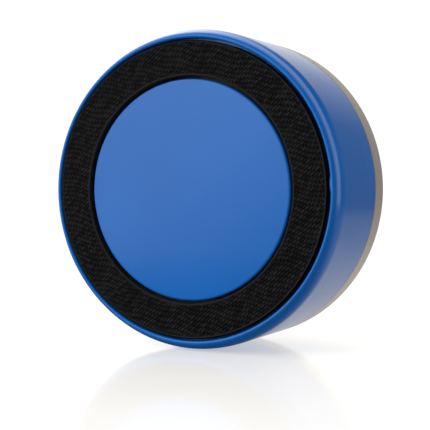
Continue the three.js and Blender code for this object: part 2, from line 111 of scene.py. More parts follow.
PORT_LEVEL = 24.9 * MM                       # middle of the port and the flap above the wall
FLAP_HALF = 4.1 * MM
KEY_TURN = math.radians(130)                 # middle of the button row
KEY_LEVEL = 30 * MM
KEY_PITCH = 9.6 * MM
KEY_LENGTH, KEY_HEIGHT = 6.8 * MM, 4.2 * MM
KEY_TOP = RADIUS + 0.5 * MM
BOSS_R = 35.5 * MM                           # circle of the cover's screws
BOSS_TURNS = [math.radians(turn) for turn in (90, 210, 330)]
LED_TURN = math.radians(197)
MICROPHONE_TURN = math.radians(222)
CUP_R = high("suction_cup").z
CUP_TOP = -low("suction_cup").y


# ---- camera ------------------------------------------------------------------------------------------

def make_camera():
    azimuth, elevation, roll = 0.45824, 0.03712, 0.01095      # radians
    distance, across, up_shift = 6.7894, 0.195, -0.15336      # in outer radii
    back = Vector((math.sin(azimuth) * math.cos(elevation), -math.cos(azimuth) * math.cos(elevation),
                   math.sin(elevation)))
    right = (-back).cross(Vector((0, 0, 1))).normalized()
    up = right.cross(-back)
    turned_right = math.cos(roll) * right + math.sin(roll) * up
    turned_up = -math.sin(roll) * right + math.cos(roll) * up
    target = Vector((0, -RIM_PLANE, 0))
    place = target + RADIUS * (distance * back + across * turned_right + up_shift * turned_up)
    data = bpy.data.cameras.new("camera")
    data.sensor_width = 36
    data.lens = 92.377674
    data.clip_start = 0.01
    camera = bpy.data.objects.new("camera", data)
    camera.matrix_world = Matrix((
        (turned_right.x, turned_up.x, back.x, place.x),
        (turned_right.y, turned_up.y, back.y, place.y),
        (turned_right.z, turned_up.z, back.z, place.z),
        (0, 0, 0, 1),
    ))
    bpy.context.collection.objects.link(camera)
    bpy.context.scene.camera = camera


# ---- materials ---------------------------------------------------------------------------------------

class Nodes:
    """A short way to write a node tree."""

    def __init__(self, tree):
        self.tree = tree
        tree.nodes.clear()

    def add(self, kind, **settings):
        node = self.tree.nodes.new(kind)
        for name, value in settings.items():
            setattr(node, name, value)
        return node

    def link(self, source, target):
        self.tree.links.new(source, target)

    def math(self, operation, first, second=None):
        node = self.add("ShaderNodeMath", operation=operation)
        for socket, value in zip(node.inputs, (first, second)):
            if value is None:
                continue
            if isinstance(value, (int, float)):
                socket.default_value = value
            else:
                self.link(value, socket)
        return node.outputs[0]

    def noise(self, vector, scale, detail, roughness=0.5):
        node = self.add("ShaderNodeTexNoise")
        node.inputs["Scale"].default_value = scale
        node.inputs["Detail"].default_value = detail
        node.inputs["Roughness"].default_value = roughness
        self.link(vector, node.inputs["Vector"])
        return node.outputs["Fac"]

    def spread(self, value, from_low, from_high, to_low, to_high):
        node = self.add("ShaderNodeMapRange")
        node.clamp = True
        for name, number in (("From Min", from_low), ("From Max", from_high),
                             ("To Min", to_low), ("To Max", to_high)):
            node.inputs[name].default_value = number
        self.link(value, node.inputs["Value"])
        return node.outputs["Result"]

    def blend(self, factor, first, second):
        node = self.add("ShaderNodeMix", data_type="RGBA")
        self.link(factor, node.inputs["Factor"])
        for name, value in (("A", first), ("B", second)):
            socket = next(s for s in node.inputs if s.name == name and s.type == "RGBA")
            if isinstance(value, tuple):
                socket.default_value = (*value, 1)
            else:
                self.link(value, socket)
        return next(s for s in node.outputs if s.type == "RGBA")

    def mix(self, factor, first, second):
        node = self.add("ShaderNodeMixShader")
        for socket, source in zip(node.inputs, (factor, first, second)):
            self.link(source, socket)
        return node.outputs[0]

    def bump(self, height, strength, distance):
        node = self.add("ShaderNodeBump")
        node.inputs["Strength"].default_value = strength
        node.inputs["Distance"].default_value = distance
        self.link(height, node.inputs["Height"])
        return node.outputs["Normal"]


def shader(name, **constants):
    """A new material with a Principled shader; constants are set on its own sockets."""
    material = bpy.data.materials.new(name)
    material.use_nodes = True
    nodes = Nodes(material.node_tree)
    principled = nodes.add("ShaderNodeBsdfPrincipled")
    output = nodes.add("ShaderNodeOutputMaterial")
    nodes.link(principled.outputs[0], output.inputs["Surface"])
    for socket_name, value in constants.items():
        socket = principled.inputs[socket_name.replace("_", " ")]
        socket.default_value = (*value, 1) if isinstance(value, tuple) else value
    place = nodes.add("ShaderNodeTexCoord").outputs["Object"]
    return material, nodes, principled.inputs, place


def surface_detail(nodes, inputs, place, colours, roughness, grain, bump, colour_scale=60):
    """Colour that drifts between two tones, roughness that varies and a fine bump."""
    drift = nodes.noise(place, colour_scale, 5)
    nodes.link(nodes.blend(nodes.spread(drift, 0.35, 0.65, 0, 1), *colours), inputs["Base Color"])
    wear = nodes.noise(place, colour_scale * 3.1, 6, 0.6)
    nodes.link(nodes.spread(wear, 0.3, 0.7, *roughness), inputs["Roughness"])
    nodes.link(nodes.bump(nodes.noise(place, grain, 3), bump, 0.0001), inputs["Normal"])


def blue_paint():
    """Deep blue gloss under a clear coat."""
    material, nodes, inputs, place = shader(
        "blue_paint", Coat_Weight=0.6, Coat_Roughness=0.05, Coat_IOR=1.5, IOR=1.45, Specular_IOR_Level=0.45)
    blues = ((0.0012, 0.098, 0.385), (0.0016, 0.108, 0.41))
    surface_detail(nodes, inputs, place, blues, (0.2, 0.26), 900, 0.015, 25)
    return material


def plain(name, colours, roughness, grain, bump, **constants):
    material, nodes, inputs, place = shader(name, **constants)
    surface_detail(nodes, inputs, place, colours, roughness, grain, bump)
    return material


def printed_rubber():
    """Matt black rubber; a raised figure marked as ink on its mesh is pale grey."""
    material, nodes, inputs, place = shader("soft_black")
    blacks = ((0.010, 0.010, 0.011), (0.015, 0.015, 0.0155))
    surface_detail(nodes, inputs, place, blacks, (0.55, 0.7), 3500, 0.18)
    ink = nodes.add("ShaderNodeAttribute", attribute_name="ink").outputs["Fac"]
    rubber = inputs["Base Color"].links[0].from_socket
    nodes.link(nodes.blend(ink, rubber, (0.30, 0.30, 0.30)), inputs["Base Color"])
    return material


def spun_metal():
    """Satin metal turned on a lathe: fine lines run round the axis."""
    material, nodes, inputs, place = shader("spun_metal", Metallic=0.75, Anisotropic=0.5)
    tangent = nodes.add("ShaderNodeTangent", direction_type="RADIAL", axis="Y")
    nodes.link(tangent.outputs[0], inputs["Tangent"])
    split = nodes.add("ShaderNodeSeparateXYZ")
    nodes.link(place, split.inputs[0])
    x_squared = nodes.math("MULTIPLY", split.outputs[0], split.outputs[0])
    z_squared = nodes.math("MULTIPLY", split.outputs[2], split.outputs[2])
    radius = nodes.math("SQRT", nodes.math("ADD", x_squared, z_squared))
    turn = nodes.math("ARCTAN2", split.outputs[2], split.outputs[0])
    groove = nodes.add("ShaderNodeCombineXYZ")
    nodes.link(nodes.math("MULTIPLY", radius, 9000), groove.inputs[0])
    nodes.link(nodes.math("MULTIPLY", split.outputs[1], 9000), groove.inputs[1])
    nodes.link(nodes.math("MULTIPLY", turn, 1.5), groove.inputs[2])
    lines = nodes.noise(groove.outputs[0], 1.0, 4, 0.65)
    share = nodes.spread(lines, 0.3, 0.7, 0, 1)
    nodes.link(nodes.blend(share, (0.54, 0.48, 0.41), (0.80, 0.72, 0.62)), inputs["Base Color"])
    nodes.link(nodes.spread(lines, 0.3, 0.7, 0.36, 0.5), inputs["Roughness"])
    nodes.link(nodes.bump(lines, 0.25, 0.00003), inputs["Normal"])
    return material


def woven_black():
    """Dark thread: the weave itself is in the mesh, the fibres are here. Its colour is painted light and
    shade read from the mesh: a painted highlight on the float tops and hem, painted shade in the valleys
    between floats.
    """
    material, nodes, inputs, place = shader("woven_black", Specular_IOR_Level=0.12)
    painted_weave_light = nodes.add("ShaderNodeAttribute", attribute_name="painted_weave_light").outputs["Fac"]
    tilt = nodes.add("ShaderNodeMapping")
    tilt.inputs["Rotation"].default_value = (0, math.radians(-38), 0)
    tilt.inputs["Scale"].default_value = (1, 1, 7)
    nodes.link(place, tilt.inputs["Vector"])
    fibres = nodes.noise(tilt.outputs[0], 1600, 3, 0.6)
    weave_highlight = nodes.spread(painted_weave_light, 0.25, 0.9, 0, 1)
    lit = nodes.math("MULTIPLY", weave_highlight, nodes.spread(fibres, 0.2, 0.75, 0.55, 1))
    # Painted highlight where the thread stands high, painted shade in the valleys.
    nodes.link(nodes.blend(lit, (0.0004, 0.0004, 0.0004), (0.017, 0.017, 0.017)), inputs["Base Color"])
    nodes.link(nodes.spread(fibres, 0.3, 0.7, 0.6, 0.8), inputs["Roughness"])
    nodes.link(nodes.bump(fibres, 0.5, 0.00005), inputs["Normal"])
    return material


def clear_silicone():
    """Milky translucent rubber."""
    material, nodes, inputs, place = shader(
        "clear_silicone", IOR=1.41, Subsurface_Weight=0.35, Subsurface_Scale=0.003)
    greys = ((0.56, 0.585, 0.60), (0.605, 0.63, 0.645))
    surface_detail(nodes, inputs, place, greys, (0.28, 0.34), 500, 0.01, 30)
    inputs["Subsurface Radius"].default_value = (1, 1, 1)
    return material


def board_green():
    """Solder mask with copper tracks under it."""
    material, nodes, inputs, place = shader("board_green", Coat_Weight=0.3, Coat_Roughness=0.2)
    tracks = nodes.add("ShaderNodeTexBrick")
    tracks.inputs["Scale"].default_value = 220
    tracks.inputs["Color1"].default_value = (0, 0, 0, 1)
    tracks.inputs["Color2"].default_value = (0, 0, 0, 1)
    tracks.inputs["Mortar"].default_value = (1, 1, 1, 1)
    tracks.inputs["Mortar Size"].default_value = 0.05
    nodes.link(place, tracks.inputs["Vector"])
    breaks = nodes.spread(nodes.noise(place, 150, 2), 0.45, 0.55, 0, 1)
    shown = nodes.math("MULTIPLY", tracks.outputs["Fac"], breaks)
    nodes.link(nodes.blend(shown, (0.006, 0.075, 0.024), (0.02, 0.16, 0.05)), inputs["Base Color"])
    nodes.link(nodes.spread(nodes.noise(place, 500, 3), 0.3, 0.7, 0.35, 0.5), inputs["Roughness"])
    nodes.link(nodes.bump(shown, 0.3, 0.00005), inputs["Normal"])
    return material


def wound_copper():
    """Enamelled wire wound in close turns along the axis."""
    material, nodes, inputs, place = shader("wound_copper", Metallic=0.9)
    split = nodes.add("ShaderNodeSeparateXYZ")
    nodes.link(place, split.inputs[0])
    wave = nodes.math("ABSOLUTE", nodes.math("SINE", nodes.math("MULTIPLY", split.outputs[1], 12000)))
    # Painted shade between the turns of wire and a painted highlight on their crests.
    nodes.link(nodes.blend(wave, (0.18, 0.05, 0.018), (0.62, 0.24, 0.09)), inputs["Base Color"])
    nodes.link(nodes.spread(wave, 0, 1, 0.5, 0.28), inputs["Roughness"])
    nodes.link(nodes.bump(wave, 0.5, 0.0001), inputs["Normal"])
    return material


def make_materials():
    steel = dict(Metallic=1.0)
    return {
        "blue_paint": blue_paint(),
        "satin_metal": spun_metal(),
        "black_cloth": woven_black(),
        "black_plastic": plain("black_plastic", ((0.011, 0.011, 0.012), (0.016, 0.016, 0.017)), (0.42, 0.55),
                               2600, 0.25),
        "soft_black": printed_rubber(),
        "clear_silicone": clear_silicone(),
        "steel": plain("steel", ((0.40, 0.40, 0.41), (0.48, 0.48, 0.49)), (0.26, 0.42), 1500, 0.1, **steel),
        "zinc": plain("zinc", ((0.48, 0.50, 0.53), (0.58, 0.59, 0.58)), (0.28, 0.42), 1800, 0.1, **steel),
        "ferrite": plain("ferrite", ((0.022, 0.022, 0.024), (0.034, 0.034, 0.036)), (0.6, 0.8), 2200, 0.5),
        "paper": plain("paper", ((0.014, 0.014, 0.017), (0.026, 0.026, 0.030)), (0.75, 0.9), 2400, 0.7),
        "treated_cloth": plain("treated_cloth", ((0.34, 0.19, 0.045), (0.48, 0.28, 0.08)), (0.6, 0.8), 3000,
                               0.8),
        "copper": wound_copper(),
        "board": board_green(),
        "chip": plain("chip", ((0.009, 0.009, 0.010), (0.014, 0.014, 0.015)), (0.4, 0.55), 3000, 0.25),
        "foil": plain("foil", ((0.46, 0.48, 0.50), (0.56, 0.57, 0.58)), (0.25, 0.45), 600, 0.4, **steel),
        "ivory": plain("ivory", ((0.70, 0.66, 0.55), (0.78, 0.74, 0.63)), (0.35, 0.5), 1500, 0.1),
        "polyimide": plain("polyimide", ((0.42, 0.15, 0.02), (0.55, 0.22, 0.035)), (0.25, 0.4), 900, 0.1),
        "red_wire": plain("red_wire", ((0.36, 0.012, 0.010), (0.46, 0.018, 0.014)), (0.35, 0.5), 1500, 0.1),
        "light_pipe": plain("light_pipe", ((0.80, 0.86, 0.92), (0.86, 0.91, 0.96)), (0.08, 0.16), 900, 0.03,
                            Transmission_Weight=0.7, IOR=1.49),
    }


# ---- mesh helpers ------------------------------------------------------------------------------------

def link_mesh(name, mesh, materials, slot, body, node):
    """A smooth piece on a body, which stands for one CAD node."""
    piece = bpy.data.objects.new(name, mesh)
    bpy.context.collection.objects.link(piece)
    piece.data.materials.append(materials[slot])
    for polygon in piece.data.polygons:
        polygon.use_smooth = True
    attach(piece, body)
    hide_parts(node)
    return piece


def around(radius, height, turn):
    """A point at a radius from the axis, a height above the wall and an angle seen from the front."""
    return (radius * math.cos(turn), -height, radius * math.sin(turn))


def turned_mesh(name, outline, steps=ROUND_STEPS, closed=True):
    """A mesh turned round the speaker's axis from (radius, height) points, poles made into single points."""
    mesh = bmesh.new()
    rows = []
    for radius, height in outline:
        if radius < 1e-7:
            rows.append([mesh.verts.new((0, -height, 0))])
        else:
            rows.append([mesh.verts.new(around(radius, height, TAU * i / steps)) for i in range(steps)])
    pairs = list(zip(rows, rows[1:]))
    if closed:
        pairs.append((rows[-1], rows[0]))
    for first, second in pairs:
        for i in range(steps):
            j = (i + 1) % steps
            corners = [first[i % len(first)], first[j % len(first)]]
            corners += [second[j % len(second)], second[i % len(second)]]
            unique = list(dict.fromkeys(corners))
            if len(unique) > 2:
                mesh.faces.new(unique)
    bmesh.ops.recalc_face_normals(mesh, faces=mesh.faces)
    data = bpy.data.meshes.new(name)
    mesh.to_mesh(data)
    mesh.free()
    return data


def arc(radius, height, bend, start, end, steps):
    return [(radius + bend * math.cos(math.radians(start + (end - start) * i / steps)),
             height + bend * math.sin(math.radians(start + (end - start) * i / steps)))
            for i in range(steps + 1)]


def sharpen(piece):
    """Smooth shading that keeps the sharp edges."""
    limit = math.radians(SHARP_EDGE)
    mesh = bmesh.new()
    mesh.from_mesh(piece.data)
    for edge in mesh.edges:
        edge.smooth = not (len(edge.link_faces) == 2 and edge.calc_face_angle() > limit)
    mesh.to_mesh(piece.data)
    mesh.free()


def beside(turn, x, y, level):
    """A point x out from the axis along an angle, y across that direction and a level above the wall."""
    return (x * math.cos(turn) - y * math.sin(turn), -level, x * math.sin(turn) + y * math.cos(turn))


def mesh_from(name, points, faces):
    mesh = bmesh.new()
    corners = [mesh.verts.new(point) for point in points]
    for face in faces:
        mesh.faces.new([corners[i] for i in face])
    bmesh.ops.recalc_face_normals(mesh, faces=mesh.faces)
    data = bpy.data.meshes.new(name)
    mesh.to_mesh(data)
    mesh.free()
    return data


def prism(first, second):
    """A closed solid between two outlines with the same number of points."""
    n = len(first)
    faces = [(i, (i + 1) % n, n + (i + 1) % n, n + i) for i in range(n)]
    return mesh_from("prism", list(first) + list(second), faces + [tuple(range(n)), tuple(range(n, 2 * n))])


def stadium(length, height, steps=8):
    end = height / 2
    straight = length / 2 - end
    points = []
    for side in (1, -1):
        for i in range(steps + 1):
            bend = math.pi * i / steps - math.pi / 2
            points.append((side * (straight + end * math.cos(bend)), side * end * math.sin(bend)))
    return points


def rod(turn, outline, inner, outer, y=0.0, level=0.0):
    """An outline of (across, up) points pushed out along an angle, between two distances off the axis."""
    return prism(*([beside(turn, x, y + a, level + b) for a, b in outline] for x in (inner, outer)))


def peg(turn, distance, radius, back, front, steps=24):
    """A round peg along the speaker's axis, standing off to one side of it."""
    circle = [(radius * math.cos(TAU * i / steps), radius * math.sin(TAU * i / steps)) for i in range(steps)]
    return prism(*([beside(turn, distance + a, b, level) for a, b in circle] for level in (back, front)))


def wedge(inner, outer, back, front, middle, width, corner=0.0, steps=12):
    """A block curved round the axis. Angles are in degrees; the corners seen from outside are rounded."""
    mesh = bmesh.new()
    columns = []
    for i in range(steps + 1):
        turn = math.radians(middle - width / 2 + width * i / steps)
        profile = ((inner, back), (outer, back), (outer, front), (inner, front))
        columns.append([mesh.verts.new(around(radius, height, turn)) for radius, height in profile])
    for first, second in zip(columns, columns[1:]):
        for k in range(4):
            mesh.faces.new((first[k], first[(k + 1) % 4], second[(k + 1) % 4], second[k]))
    ends = (columns[0], columns[-1])
    for column in ends:
        mesh.faces.new(column)
    if corner:
        edges = [mesh.edges.get((column[k], column[k + 1])) for column in ends for k in (0, 2)]
        bmesh.ops.bevel(mesh, geom=edges, offset=corner, segments=5, affect="EDGES", profile=0.5)
    bmesh.ops.recalc_face_normals(mesh, faces=mesh.faces)
    data = bpy.data.meshes.new("wedge")
    mesh.to_mesh(data)
    mesh.free()
    return data


def combined(data, tools, operation="DIFFERENCE"):
    """A mesh with every tool cut from it, or added to it."""
    holder = bpy.data.objects.new("holder", data)
    helpers = [bpy.data.objects.new("tool", tool) for tool in tools]
    for piece in [holder] + helpers:
        bpy.context.collection.objects.link(piece)
    for helper in helpers:
        step = holder.modifiers.new("step", "BOOLEAN")
        step.solver = "EXACT"
        step.operation = operation
        step.object = helper
    result = bpy.data.meshes.new_from_object(holder.evaluated_get(bpy.context.evaluated_depsgraph_get()))
    for piece in [holder] + helpers:
        bpy.data.objects.remove(piece)
    return result


def joined(name, parts, inked=()):
    """Several closed meshes in one; the inked ones carry a mark that the material prints pale."""
    mesh = bmesh.new()
    mesh.verts.layers.float.new("ink")
    for amount, group in ((0.0, parts), (1.0, inked)):
        for part in group:
            known = len(mesh.verts)
            mesh.from_mesh(part)
            ink = mesh.verts.layers.float["ink"]
            mesh.verts.ensure_lookup_table()
            for corner in mesh.verts[known:]:
                corner[ink] = amount
    data = bpy.data.meshes.new(name)
    mesh.to_mesh(data)
    mesh.free()
    return data


def show(name, data, materials, slot, body, node):
    piece = link_mesh(name, data, materials, slot, body, node)
    sharpen(piece)
    return piece


# ---- outer shells ------------------------------------------------------------------------------------

def casing_outline():
    lip = 0.62 * MM
    crest_r = RIM_INNER + 1.12 * MM
    round_r = RADIUS - RIM_ROUND
    round_z = RIM_PLANE - RIM_ROUND
    crest = math.acos((crest_r - round_r) / RIM_ROUND)
    crest_z = round_z + RIM_ROUND * math.sin(crest)
    lip_r, lip_z = crest_r - lip * math.cos(crest), crest_z - lip * math.sin(crest)
    edge = 0.15 * MM
    wall_r = RADIUS - WALL
    skirt_r, skirt_back = RADIUS - 2.1 * MM, 16.7 * MM
    seat_r, ledge_r = RADIUS - 3.4 * MM, RIM_INNER - 2.1 * MM
    outline = [(skirt_r, CASING_BACK), (RADIUS - edge, CASING_BACK), (RADIUS, CASING_BACK + edge)]
    outline += arc(round_r, round_z, RIM_ROUND, 0, math.degrees(crest), 24)
    outline += arc(lip_r, lip_z, lip, math.degrees(crest), 180, 8)[1:]
    outline += [(RIM_INNER, LEDGE), (ledge_r, LEDGE), (ledge_r, LEDGE - 1.4 * MM), (wall_r, LEDGE - 2 * MM)]
    outline += [(wall_r, BAFFLE_TOP), (BAFFLE_HOLE, BAFFLE_TOP)]
    outline += [(BAFFLE_HOLE, BAFFLE_BACK), (wall_r, BAFFLE_BACK)]
    outline += [(wall_r, CASING_BACK + 3.3 * MM), (seat_r, CASING_BACK + 1.7 * MM)]
    return outline + [(seat_r, skirt_back), (skirt_r, skirt_back)]


def turn_at(y):
    """Degrees round the side wall from an opening's middle to a point so far along it."""
    return math.degrees(math.asin(y / RADIUS))


def casing_tools():
    """The openings in the side wall: button tray, port under its flap, light and microphone."""
    row, port = math.degrees(KEY_TURN), math.degrees(PORT_TURN)
    deep, clear = RADIUS - 5 * MM, RADIUS + 2 * MM
    flap_end, root_end = turn_at(8.3 * MM), turn_at(11.8 * MM)
    flap_hole = FLAP_HALF + 0.3 * MM
    return [
        wedge(RADIUS - 1 * MM, clear, KEY_LEVEL - 4.3 * MM, KEY_LEVEL + 4.3 * MM, row, 61.8, 1.1 * MM, 20),
        wedge(deep, clear, KEY_LEVEL - 3.2 * MM, KEY_LEVEL + 3.2 * MM, row, 56, 0, 20),
        wedge(RADIUS - 1.3 * MM, clear, PORT_LEVEL - flap_hole, PORT_LEVEL + flap_hole,
              port + (flap_end - root_end) / 2, flap_end + root_end, 1.3 * MM, 12),
        rod(PORT_TURN, stadium(12.6 * MM, 6.8 * MM), deep, clear, 0, PORT_LEVEL),
        rod(PORT_TURN, stadium(2.6 * MM, 2.6 * MM), deep, clear, -10.2 * MM, PORT_LEVEL),
        rod(LED_TURN, stadium(2.6 * MM, 2.6 * MM, 12), deep, clear, 0, PORT_LEVEL),
        rod(MICROPHONE_TURN, stadium(1.6 * MM, 1.6 * MM, 12), deep, clear, 0, 25.4 * MM),
    ]


def notch_lip(data):
    """A small moulding tab on the rim's inner lip, at 3 o'clock."""
    for corner in data.vertices:
        x, level, z = corner.co.x, -corner.co.y, corner.co.z
        beside_tab = abs(math.degrees(math.atan2(z, x)) - 3) < 2.3
        if beside_tab and level > LEDGE + 0.5 * MM and math.hypot(x, z) < RIM_INNER + 0.3 * MM:
            corner.co.x -= 0.3 * MM


def make_casing(materials):
    shell = turned_mesh("casing", casing_outline())
    notch_lip(shell)
    shell = combined(shell, casing_tools())
    bosses = [peg(turn, BOSS_R, 3 * MM, 15.6 * MM, BAFFLE_BACK + 0.3 * MM) for turn in BOSS_TURNS]
    data = joined("casing_shell", [shell] + bosses)
    show("casing_shell", data, materials, "blue_paint", "speaker", "front_casing")


def make_band(materials):
    edge = 0.7 * MM
    lip = 0.12 * MM
    back = BAND_BACK
    outline = [(RADIUS - 1.5 * MM, BAND_FRONT), (RADIUS - lip, BAND_FRONT), (RADIUS, BAND_FRONT - lip)]
    outline += arc(RADIUS - edge, back + edge, edge, 0, -90, 10)
    outline += [(40.4 * MM, back), (40.4 * MM, back + 1.2 * MM), (RADIUS - 1.5 * MM, back + 1.2 * MM)]
    show("band_ring", turned_mesh("band_ring", outline), materials, "satin_metal", "speaker", "trim_band")


def make_disc(materials):
    edge = 0.55 * MM
    outline = [(0, DISC_BACK), (DISC_R, DISC_BACK)]
    outline += arc(DISC_R - edge, DISC_TOP - edge, edge, 0, 90, 8)
    outline += [(DISC_R - edge - 0.15 * MM, DISC_TOP)]
    outline += [(DISC_R * share, DISC_TOP) for share in (0.9, 0.6, 0.3)] + [(0, DISC_TOP)]
    data = turned_mesh("disc_plate", outline, closed=False)
    show("disc_plate", data, materials, "blue_paint", "speaker", "centre_disc")


# The cloth: slanted floats in staggered rows, and how many points it takes to show them.
CLOTH_TURNS, CLOTH_ROWS = 1240, 52
FLOAT_LENGTH, FLOAT_WIDTH, FLOAT_HEIGHT = 1.7 * MM, 0.75 * MM, 0.32 * MM
FLOAT_SLANT = math.radians(40)
CLOTH_EDGE = 0.35 * MM                       # rounding of the ring's edges
CLOTH_BORDER = 0.4 * MM                      # where the weave fades into a plain hem


def weave_height(x, z):
    """Height of the weave at a place on the cloth, 0 to 1, with floats of uneven height in wavy rows."""
    wander = 0.16 * math.sin(x / (1.7 * MM)) + 0.16 * math.sin(z / (2.3 * MM))
    along = (x * math.cos(FLOAT_SLANT) + z * math.sin(FLOAT_SLANT)) / FLOAT_LENGTH + wander
    across = (-x * math.sin(FLOAT_SLANT) + z * math.cos(FLOAT_SLANT)) / FLOAT_WIDTH + wander
    row = math.floor(across)
    v = across - row - 0.5
    u = along + 0.37 * row
    column = math.floor(u)
    u -= column + 0.5
    scatter = math.sin(12.9898 * row + 78.233 * column) * 43758.5453 % 1
    uneven = 0.55 + 0.45 * abs(scatter)
    hump = max(0.0, 1 - (2 * v) ** 2) ** 0.5
    return uneven * hump * max(0.0, 1 - abs(2 * u) ** 2.6) ** 0.5


def cloth_rows():
    """Rows of points from the outer edge in: radius, height, share of weave, painted lightness where there is
    no weave, relief. The outer side is painted dark as shade, the hem painted at full light as a highlight
    and the inner side painted lighter.
    """
    hidden = CLOTH_BACK + 0.05 * MM
    outer, inner = CLOTH_OUTER - CLOTH_EDGE, CLOTH_INNER + CLOTH_EDGE
    shoulder = CLOTH_TOP - CLOTH_EDGE
    side = [(CLOTH_OUTER, hidden)] + arc(outer, shoulder, CLOTH_EDGE, 0, 75, 6)
    # Painted shade: the outer side, by the rim, is painted dark.
    rows = [(radius, height, 0, 0.1, 0) for radius, height in side]
    for k in range(CLOTH_ROWS + 1):
        radius = outer + (inner - outer) * k / CLOTH_ROWS
        share = min(1.0, min(radius - inner, outer - radius) / CLOTH_BORDER)
        # Painted highlight: where the weave fades, the hem is painted at full light.
        rows.append((radius, CLOTH_TOP - FLOAT_HEIGHT * 0.9, share, 1.0, FLOAT_HEIGHT))
    side = arc(inner, shoulder, CLOTH_EDGE, 105, 180, 4) + [(CLOTH_INNER, hidden)]
    # The inner side, by the disc, is painted lighter than the outer side.
    return rows + [(radius, height, 0, 0.8, 0) for radius, height in side]


def cloth_mesh():
    """The woven ring. Each point carries a painted lightness taken from how high its thread is, which the
    material turns into colour: painted highlight on high thread, painted shade in the valleys.
    """
    mesh = bmesh.new()
    mark = mesh.verts.layers.float.new("painted_weave_light")
    rings = []
    for radius, height, share, painted_edge_light, relief in cloth_rows():
        ring = []
        for i in range(CLOTH_TURNS):
            turn = TAU * i / CLOTH_TURNS
            weave = weave_height(radius * math.cos(turn), radius * math.sin(turn)) if share else 0
            # Painted light and shade: highlight where the thread is high, shade where it is low.
            painted_weave_light = share * weave + (1 - share) * painted_edge_light
            point = mesh.verts.new(around(radius, height + relief * painted_weave_light, turn))
            point[mark] = painted_weave_light
            ring.append(point)
        rings.append(ring)
    for first, second in zip(rings, rings[1:]):
        for i in range(CLOTH_TURNS):
            j = (i + 1) % CLOTH_TURNS
            mesh.faces.new((first[i], first[j], second[j], second[i]))
    bmesh.ops.recalc_face_normals(mesh, faces=mesh.faces)
    data = bpy.data.meshes.new("cloth_ring")
    mesh.to_mesh(data)
    mesh.free()
    return data


def make_cloth(materials):
    piece = link_mesh("cloth_ring", cloth_mesh(), materials, "black_cloth", "speaker", "grille_cloth")


# ---- controls and port -------------------------------------------------------------------------------

# Figures on the keys, each a list of convex outlines in millimetres, right and up as the user sees them.
def bar(x0, y0, x1, y1):
    return [(x0, y0), (x1, y0), (x1, y1), (x0, y1)]


def power_figure():
    inner, outer, gap, steps = 0.85, 1.2, 35, 16
    turns = [math.radians(90 + gap + (360 - 2 * gap) * i / steps) for i in range(steps + 1)]
    return [bar(-0.17, 0.25, 0.17, 1.45)] + [
        [(inner * math.cos(a), inner * math.sin(a)), (outer * math.cos(a), outer * math.sin(a)),
         (outer * math.cos(b), outer * math.sin(b)), (inner * math.cos(b), inner * math.sin(b))]
        for a, b in zip(turns, turns[1:])]


KEYS = (
    ("power_button", power_figure()),
    ("volume_down_button", [bar(-1.25, -0.18, 1.25, 0.18)]),
    ("play_button", [[(-1.5, -1.05), (0.2, 0), (-1.5, 1.05)],
                     bar(0.55, -1.0, 0.9, 1.0), bar(1.2, -1.0, 1.55, 1.0)]),
    ("volume_up_button", [bar(-1.25, -0.18, 1.25, 0.18),
                          bar(-0.18, 0.1, 0.18, 1.25), bar(-0.18, -1.25, 0.18, -0.1)]),
)
# Inset from the key's outline and depth under its domed top, from the hidden flange up. Millimetres.
KEY_PROFILE = ((-0.8, 3.5), (-0.8, 2.85), (0, 2.85), (0, 0.4), (0.07, 0.2), (0.2, 0.07), (0.42, 0), (1.1, 0),
               (1.8, 0))


def on_key(y, level, depth):
    """A point so far under the domed row of keys."""
    return beside(KEY_TURN, math.sqrt(KEY_TOP ** 2 - y ** 2) - depth, y, KEY_LEVEL + level)


def key_body(y):
    outlines = []
    for inset, depth in KEY_PROFILE:
        outline = stadium(KEY_LENGTH - 2 * inset * MM, KEY_HEIGHT - 2 * inset * MM, 10)
        outlines.append([on_key(y + a, b, depth * MM) for a, b in outline])
    n = len(outlines[0])
    faces = [(k * n + i, k * n + (i + 1) % n, (k + 1) * n + (i + 1) % n, (k + 1) * n + i)
             for k in range(len(outlines) - 1) for i in range(n)]
    ends = [tuple(range(n)), tuple(range((len(outlines) - 1) * n, len(outlines) * n))]
    return mesh_from("key", [point for outline in outlines for point in outline], faces + ends)


def key_figure(y, shape):
    def face(depth):
        return [on_key(y - a * MM, -b * MM, depth) for a, b in shape]

    return prism(face(0.3 * MM), face(-0.12 * MM))


def make_keys(materials):
    for i, (name, figure) in enumerate(KEYS):
        y = (1.5 - i) * KEY_PITCH
        stem = rod(KEY_TURN, stadium(2.8 * MM, 2.8 * MM), 35.5 * MM, 40.2 * MM, y, KEY_LEVEL)
        data = joined(name, [key_body(y), stem], [key_figure(y, shape) for shape in figure])
        show(name + "_cap", data, materials, "soft_black", name + "_key", name)


def make_bezel(materials):
    row = math.degrees(KEY_TURN)
    face_half, tray_half = 4 * MM, 2.9 * MM
    face = wedge(RADIUS - 0.7 * MM, RADIUS, KEY_LEVEL - face_half, KEY_LEVEL + face_half, row, 61, 1 * MM, 20)
    tray = wedge(RADIUS - 2 * MM, RADIUS - 0.5 * MM, KEY_LEVEL - tray_half, KEY_LEVEL + tray_half, row, 55.2,
                 0, 20)
    hole = stadium(KEY_LENGTH + 0.6 * MM, KEY_HEIGHT + 0.6 * MM, 10)
    tools = [rod(KEY_TURN, hole, 36 * MM, 46 * MM, (1.5 - i) * KEY_PITCH, KEY_LEVEL) for i in range(4)]
    data = combined(combined(face, [tray], "UNION"), tools)
    show("bezel_strip", data, materials, "soft_black", "speaker", "button_bezel")


